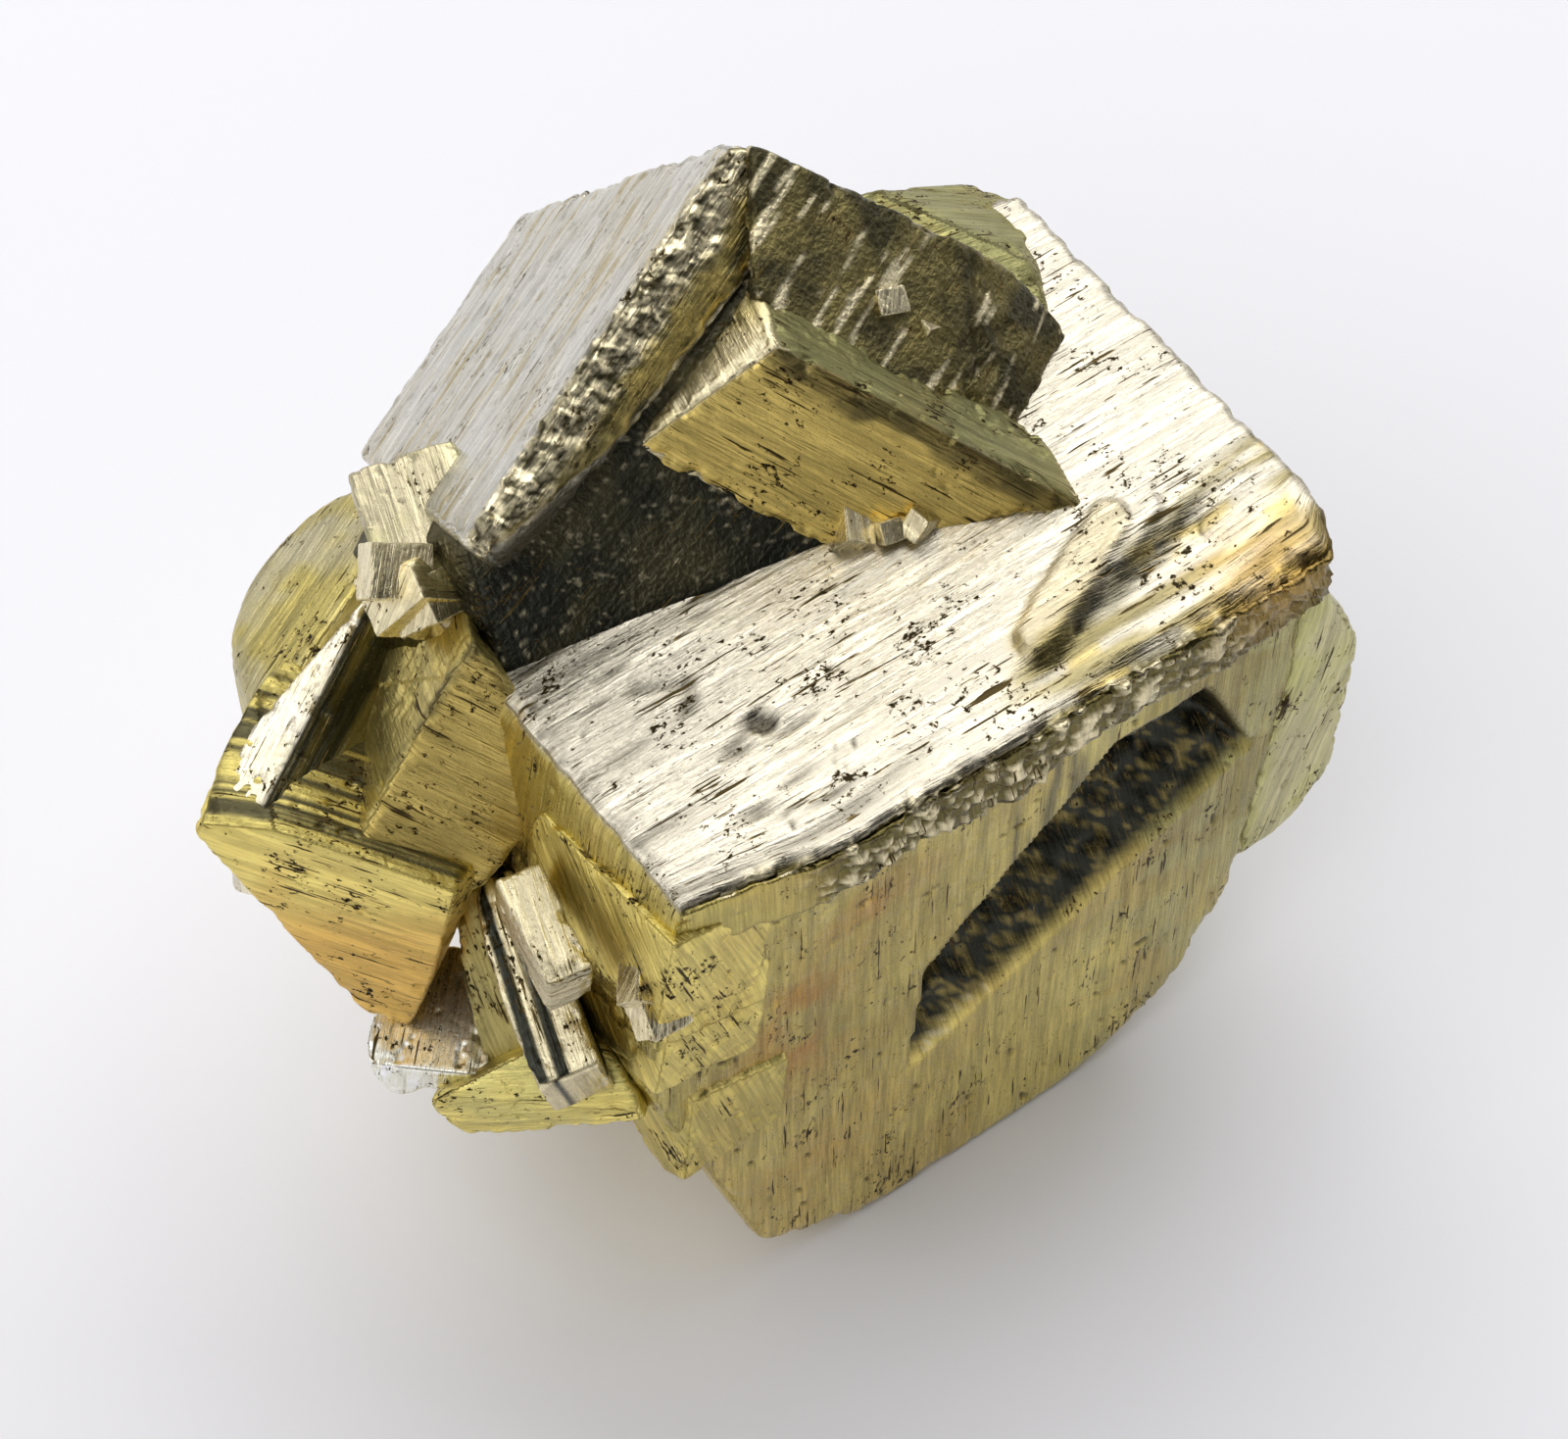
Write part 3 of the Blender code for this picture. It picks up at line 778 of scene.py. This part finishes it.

# %% [markdown]
# The front face is olive and tan, and painted light makes it paler towards the foot. Iron-rich water has left soft
# rust spots on it, and dirt has gathered in a scratched patch. Painted shadow darkens the band under the overhang,
# and painted shade darkens the floor of the notch, where only a few grains are left paler.

# %% Tones of the front face
RUST_SPOTS = [(-11.2, 3.6, 3.0, 5.4, 1.0), (-6.6, 9.6, 2.8, 2.0, 0.7), (-0.5, -2.7, 2.5, 3.0, 0.4),
              (-10.3, -10.5, 4.0, 4.0, 0.4)]
LEDGE_FOOT = HALF_HEIGHT - LEDGE_THICK


def spot(x0, z0, wide, tall):
    """A soft round patch on the front face: a bell curve of this width and height around a point."""
    return np.exp(-(((x - x0) / wide) ** 2) - ((z - z0) / tall) ** 2)


patchy = layered(main.points * 0.55, 3, 71)
front_tone = mottled(main, STONE, TAN * 1.05, seed=8, size=0.28, amount=0.8)
# Painted light: the front is made paler towards the foot. It is also made darker towards the right.
front_tone = front_tone * (1 + 0.35 * smooth(0.0, -9.0, z) - 0.45 * smooth(6.0, 12.0, x))[:, None]
front_tone = mix(front_tone, GREEN, 0.5 * smooth(2.0, 10.0, x) * smooth(0.4, -0.4, patchy))
stain = np.clip(sum(strength * spot(*place) for *place, strength in RUST_SPOTS), 0, 1)
front_tone = mix(front_tone, RUST * 1.5, 0.95 * stain * smooth(-0.9, 0.6, patchy))
# Painted shadow: the band just under the overhang is darkened, except near its left end.
under = smooth(LEDGE_FOOT - 2.2, LEDGE_FOOT, z + wobble * 2) * (1 - in_band)
front_tone = mix(front_tone, DARK, 0.75 * under * smooth(-12.5, -9.0, x))
scratched = smooth(0.0, 0.5, layered(np.c_[x * 2.2, z * 0.12, x * 0], 2, 35))
scratched *= smooth(-1.5, 1.0, x) * smooth(7.0, 4.0, x) * smooth(3.5, 7.0, z) * (1 - in_band)
front_tone = mix(front_tone, DARK, 0.8 * scratched)
sparkle = smooth(0.35, 0.6, np.abs(layered(main.points * 1.6, 3, 33)))
# Painted shade: the floor of the notch goes nearly black, and scattered grains are left paler.
notch_floor_shade = mix(np.broadcast_to(NIGHT, front_tone.shape), TAN * 0.7, 0.5 * sparkle)
front_tone = mix(front_tone, notch_floor_shade, smooth(0.05, 0.7, depth))
bright_lip = np.exp(-((depth - 0.25) / 0.2) ** 2) * smooth(3.0, -2.0, x) * on_front * (1 - in_band)
front_tone = mix(front_tone, STRAW, 0.7 * bright_lip * sparkle)
print("share of the big crystal that is stained:", round(float(stain.mean()), 3))

# %% [markdown]
# The top is pearly. Its worn rim is dark between bright grains, a band of painted shade runs along the step, the
# stepped bands take olive and honey streaks, and dirt lies in every pit and crack.

# %% Tones of the top, and the piece
tone = mottled(main, PEARL, PEARL * 0.93, size=0.2)
tone = mix(tone, front_tone, smooth(0.75, 0.4, main.normal[:, 2]))
grain_share = 0.9 * smooth(0.38, 0.6, knobs) * smooth(18.0, 6.0, x)
knob_tone = mix(np.broadcast_to(OLIVE * 0.3, tone.shape), STRAW * 1.4, grain_share)
tone = mix(tone, knob_tone, np.clip(1.2 * rim + 0.9 * rough_ledge, 0, 1))
# Painted shade: a dark band along the step, olive where the ribs rise.
tone = mix(tone, mix(np.broadcast_to(DARK, tone.shape), OLIVE, smooth(-0.3, 0.5, ribs)), 0.85 * step_shade_band)
tone = mix(tone, TAN, 0.35 * finger)
banded = smooth(0.9, -0.2, band_line) * smooth(-1.0, 3.5, x) * on_top
tone = mix(tone, OLIVE * 0.6, 0.85 * banded * smooth(-0.05, 0.3, ribs))
tone = mix(tone, HONEY, 0.8 * banded * smooth(-0.1, -0.4, ribs) * smooth(-0.3, 0.4, patchy))
finger_edge = np.exp(-((off_finger - 1.05) / 0.3) ** 2) * on_top * smooth(6.0, 3.0, x)
tone = mix(tone, HONEY, 0.7 * finger_edge * smooth(-0.3, 0.3, ragged * 2))
tone = mix(tone, ORANGE, 0.5 * spot(14.5, HALF_HEIGHT, 3.0, 3.0) * smooth(-8, -12, y))
tone = mix(tone, DIRT, np.clip(pits + round_pit + 0.8 * cracks, 0, 1) * 0.85)
make_piece("main_block_skin", "main_block", main, tone, BRIGHT)

# %% [markdown]
# ## The leaning cube
#
# Behind the big crystal, a second cube leans back. Its left side is a striated plate, its right side another, and
# between them the core lies deeper, dark and sugary. A ridge crosses the recess.

# %% The leaning cube
UPPER_AXES = turned(11, 38, -23)
UPPER_GRAIN = UPPER_AXES[:, 1]
UPPER_FRONT = UPPER_AXES[:, 2]
UPPER_LEFT = -UPPER_AXES[:, 0]
UPPER_END = UPPER_AXES[:, 0]


def knobbly(s, band, seed, size=1.6, proud=0.35):
    """Grains that stand out in a band, in mm."""
    return band * (proud * np.abs(layered(s.points * size, 3, seed)) - 0.4 * proud)


def edge_band(s):
    """The band on the front along the edge that the front shares with the left face."""
    ragged = 0.5 * layered(s.points * 0.7, 2, 81)
    return smooth(2.5, 1.4, s.behind(UPPER_LEFT) + ragged) * smooth(0.9, 0.2, s.behind(UPPER_FRONT))


def upper_left_tone(s):
    """Silvery on the broad left face, dark on the front, and bright along the edge between them."""
    side = mottled(s, SILVER, PEARL, seed=4, size=0.18, amount=0.8)
    side = mix(side, TAN, 0.7 * smooth(0.35, 0.8, layered(s.lay(2.2, 0.3), 3, 87)))
    front = mottled(s, OLIVE * 0.8, TAN * 1.3, seed=5, size=0.6, amount=0.8)
    front = mix(front, DARK, smooth(0.1, 0.5, layered(s.lay(1.6, 0.3), 3, 86)))
    grain_share = smooth(0.08, 0.35, np.abs(layered(s.points * 1.8, 3, 82)))
    grains = mix(np.broadcast_to(DARK, s.points.shape), STRAW * 1.4, grain_share)
    tone = mix(side, front, s.facing(UPPER_FRONT))
    return mix(tone, grains, edge_band(s))


def upper_right_tone(s):
    """Dark, with pale scratches along the growth lines and pale grains towards the right."""
    tone = mottled(s, DARK * 0.8, OLIVE * 0.8, seed=6, size=0.5, amount=0.6)
    tone = mix(tone, STRAW * 1.5, 0.9 * smooth(0.5, 0.8, layered(s.lay(3.0, 0.35), 3, 85)))
    return mix(tone, mottled(s, STRAW * 1.4, STONE * 1.5, seed=88), s.facing(UPPER_END))


def night_tone(s):
    """Nearly black, with blue-black and olive patches and pale grains."""
    patches = mottled(s, NIGHT, DARK * 1.6, seed=7, size=0.25, amount=0.7)
    return mix(patches, STRAW, 0.4 * smooth(0.7, 0.95, np.abs(layered(s.points * 2.6, 3, 83))))


crystal("upper_left_block", UPPER_GRAIN, upper_left_tone, BRIGHT, spacing=0.2, rounding=0.25, axes=UPPER_AXES,
        chips=0.4, steps=0.08, extra=lambda s: knobbly(s, edge_band(s), 84), seed=11)
crystal("upper_right_block", UPPER_GRAIN, upper_right_tone, SUGARY, spacing=0.18, rounding=0.25, axes=UPPER_AXES,
        chips=0.4, seed=12)
crystal("core_block", UPPER_GRAIN, night_tone, SUGARY, spacing=0.22, rounding=0.25, axes=UPPER_AXES, chips=0.1,
        seed=13)


def plain(base, other, seed, amount=0.5, size=0.35):
    """A tone function of two mottled tones."""
    return lambda s: mottled(s, base, other, seed, size, amount)


def streaks(s, a, b, seed, pitch=1.6, sharp=0.25):
    """Two tones in streaks along the grain."""
    a, b = np.broadcast_to(a, s.points.shape), np.broadcast_to(b, s.points.shape)
    return mix(a, b, smooth(-sharp, sharp, layered(s.lay(pitch, 0.05), 2, seed)))


RIDGE_AXES = turned(56, 33, -9)
RIDGE_FRONT = RIDGE_AXES[:, 2]
RIDGE_BACK = RIDGE_AXES @ unit_rows([(-0.01, 1.0, 0.29)])[0]


def ridge_tone(s):
    """Tan in front, olive-green behind, a dark worn band along the ridge, and a yellowish end."""
    tone = mix(mottled(s, STRAW * 1.4, STONE * 1.7, 92), mottled(s, TAN * 1.8, TAN * 1.5, 14), s.facing(RIDGE_FRONT))
    tone = mix(tone, mottled(s, GREEN * 0.75, OLIVE * 0.85, 94), s.facing(RIDGE_BACK))
    ragged = 0.4 * layered(s.points * 0.8, 2, 95)
    worn = smooth(1.5, 0.8, s.behind(RIDGE_BACK) + ragged) * s.facing(RIDGE_FRONT)
    return mix(tone, mottled(s, DARK, TAN, 96, size=0.9), 0.85 * worn)


crystal("ridge_cube", RIDGE_AXES[:, 0], ridge_tone, SATIN, spacing=0.13, rounding=0.2, axes=RIDGE_AXES,
        chips=0.35, seed=14)
crystal("back_wedge", (0.3, 0.2, 1), plain(GREEN * 0.8, STONE * 0.75, 15), SATIN, spacing=0.16, rounding=0.2,
        seed=15)
crystal("right_lobe", (0.2, 0.1, 1), plain(GREEN * 1.2, STRAW * 0.9, 16), SATIN, spacing=0.16, rounding=0.5,
        axes=MAIN_AXES, chips=0.4, bow=0.25, seed=16)

# %% [markdown]
# ## The stack on the left
#
# Smaller blocks and plates lean against the left side, each turned its own way.

# %% The stack on the left
MIDDLE_AXES = turned(55, 36, -12)
SLAB_AXES = turned(0, 0, -20)
SLAB_SIDE = SLAB_AXES @ unit_rows([(0.87, 0.0, 1.0)])[0]
ORANGE_AXES = turned(83, 21, -9)
ORANGE_TOP = ORANGE_AXES @ unit_rows([(-0.39, 1.0, 0.12)])[0]


def middle_tone(s):
    """Tan in front, olive on the side that looks left, and dark along the edge between them."""
    front, left = MIDDLE_AXES[:, 2], -MIDDLE_AXES[:, 0]
    tone = mix(mottled(s, OLIVE * 1.7, STONE * 1.4, 17), mottled(s, TAN * 1.4, TAN * 1.15, 97), s.facing(front))
    ragged = 0.3 * layered(s.points * 0.8, 2, 98)
    shared = smooth(0.9, 0.3, s.behind(front) + ragged) * smooth(0.9, 0.3, s.behind(left) + ragged)
    return mix(tone, DARK, 0.8 * shared)


def slab_highlight_and_shade_tone(s):
    """A white top strip of painted highlight, and a dark stepped side of painted shade."""
    return mix(mottled(s, PEARL * 1.3, STRAW * 1.3, 18), streaks(s, NIGHT, DARK * 1.6, 99), s.facing(SLAB_SIDE))


def orange_tone(s):
    """Amber, with bright and dark streaks on top."""
    body = mottled(s, STONE * 1.6, TAN * 1.6, 19, 0.5)
    low = smooth(3.0, 8.5, s.behind(ORANGE_TOP) + 1.2 * layered(s.points * 0.35, 3, 89))
    body = mix(body, ORANGE * 1.15, 0.85 * low)
    return mix(body, streaks(s, STONE * 1.1, DARK, 100, 3.4, 0.6), s.facing(ORANGE_TOP))


crystal("middle_cube", RIDGE_AXES[:, 0], middle_tone, SATIN, spacing=0.14, rounding=0.25, axes=MIDDLE_AXES, seed=17)
crystal("left_slab", (0.34, 0.94, 0), slab_highlight_and_shade_tone, BRIGHT, spacing=0.12, rounding=0.15, seed=18)
crystal("orange_block", ORANGE_AXES[:, 0], orange_tone, STAINED, spacing=0.12, rounding=0.2, seed=19)
crystal("upper_left_small_block", (0.2, 0.3, 1), plain(STRAW * 0.9, GREEN, 20), BRIGHT, spacing=0.1, rounding=0.2,
        seed=20)
crystal("far_left_plate", (0.4, 0.9, 0.2), plain(STONE, SILVER * 0.8, 21), SATIN, spacing=0.14, rounding=0.6,
        chips=0.1, seed=21)
crystal("left_face_slab", (0.6, -0.5, -0.6), plain(STONE * 1.5, TAN * 1.5, 22), SATIN, spacing=0.12,
        rounding=0.15, seed=22)
crystal("bright_prism", (0.3, -0.9, 0.1), plain(STRAW, STRAW * 0.9, 23), BRIGHT, spacing=0.08, rounding=0.12,
        pitch=1.6, seed=23)
crystal("striated_prism", (0.3, -0.9, -0.2), lambda s: streaks(s, STRAW * 1.3, NIGHT, 24, 1.8), BRIGHT,
        spacing=0.1, rounding=0.15, pitch=1.6, seed=24)
crystal("lower_slab", (0.6, -0.5, -0.6), plain(STONE * 1.4, TAN * 1.4, 25), SATIN, spacing=0.12, rounding=0.15,
        seed=25)
# Painted light: these tones are pushed far paler than the other crystals', against the shadow that the orange block
# casts here.
crystal("lower_left_block", (0.1, -0.2, 1), plain(SILVER * 1.5, STRAW * 1.6, 26), BRIGHT, spacing=0.1,
        rounding=0.15, seed=26)
crystal("bottom_block", (0.9, -0.2, 0.3), plain(STONE * 1.5, GREEN * 1.4, 27), SATIN, spacing=0.11, rounding=0.35,
        seed=27)
crystal("shoulder_block", (0.3, -0.7, -0.5), plain(OLIVE * 1.2, DARK * 2, 29), SATIN, spacing=0.12, rounding=0.3,
        seed=29)
crystal("foot_slab", (0.5, -0.4, -0.7), plain(STONE * 1.2, TAN * 1.2, 28), SATIN, spacing=0.12, rounding=0.15,
        seed=28)

# %% [markdown]
# ## Grains in the corners
#
# Ten grain-sized cubes sit where the large crystals meet. They are the brightest things there, because each one
# catches the light at its own angle.

# %% Grains
GRAINS = ["contact_crystal_1", "contact_crystal_2", "contact_crystal_3", "perched_crystal_1", "perched_crystal_2",
          "valley_crystal_1", "valley_crystal_2", "valley_crystal_3", "corner_crystal_1", "corner_crystal_2"]
for i, grain_node in enumerate(GRAINS):
    crystal(grain_node, (0.3, 0.5, 0.8), plain(STRAW * 1.5, STRAW * 1.2, 40 + i), BRIGHT, 0.06, 0.06, ridges=0.01,
            steps=0.01, pits=0.02, chips=0.08, seed=40 + i)
